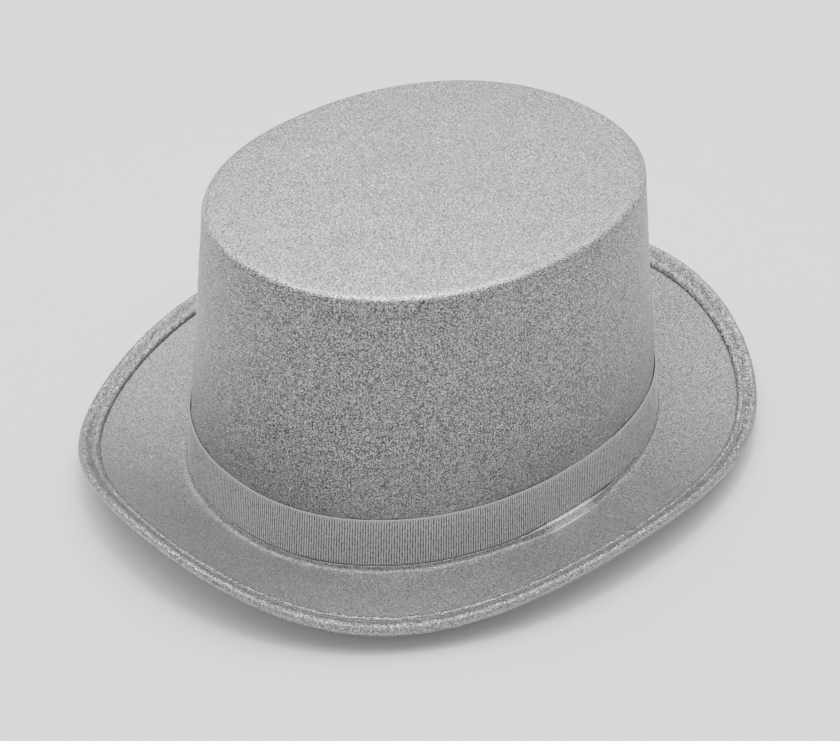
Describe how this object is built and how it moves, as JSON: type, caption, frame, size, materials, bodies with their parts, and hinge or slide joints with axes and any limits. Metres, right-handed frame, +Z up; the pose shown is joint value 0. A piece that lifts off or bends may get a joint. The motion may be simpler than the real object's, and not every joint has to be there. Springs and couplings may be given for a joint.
{
  "type": "top hat",
  "caption": "Low-crowned party top hat with a flat tip, an oval tapered crown, a ribbon band and a curled, bound brim; worn on the head.",
  "frame": {"origin": "under the middle of the brim, on the surface that the hat stands on", "axes": "-Y to the front of the hat, +X to the wearer's left, +Z up to the tip"},
  "size_m": [0.2596, 0.3036, 0.1241],
  "materials": {
    "glitter_cloth": "silver metallic-thread glitter cloth",
    "edge_binding": "silver-grey cloth binding, duller than the crown",
    "foundation_board": "stiffened pressed felt",
    "grosgrain": "matt grey ribbed ribbon",
    "thread": "grey polyester thread",
    "edge_wire": "covered brim wire",
    "sweatband_cloth": "black woven sweatband tape",
    "satin_lining": "dark satin"
  },
  "bodies": {
    "root": {"crown_foundation": "foundation_board", "crown_cover": "glitter_cloth", "brim_foundation": "foundation_board", "brim_top_cover": "glitter_cloth", "brim_under_cover": "glitter_cloth", "brim_binding": "edge_binding", "brim_edge_wire": "edge_wire", "binding_stitching": "thread", "hat_band": "grosgrain", "band_seam_thread": "thread", "sweatband": "sweatband_cloth", "sweatband_stitching": "thread", "sweatband_join_stay": "sweatband_cloth", "side_lining": "satin_lining", "tip_lining": "satin_lining"}
  },
  "joints": []
}
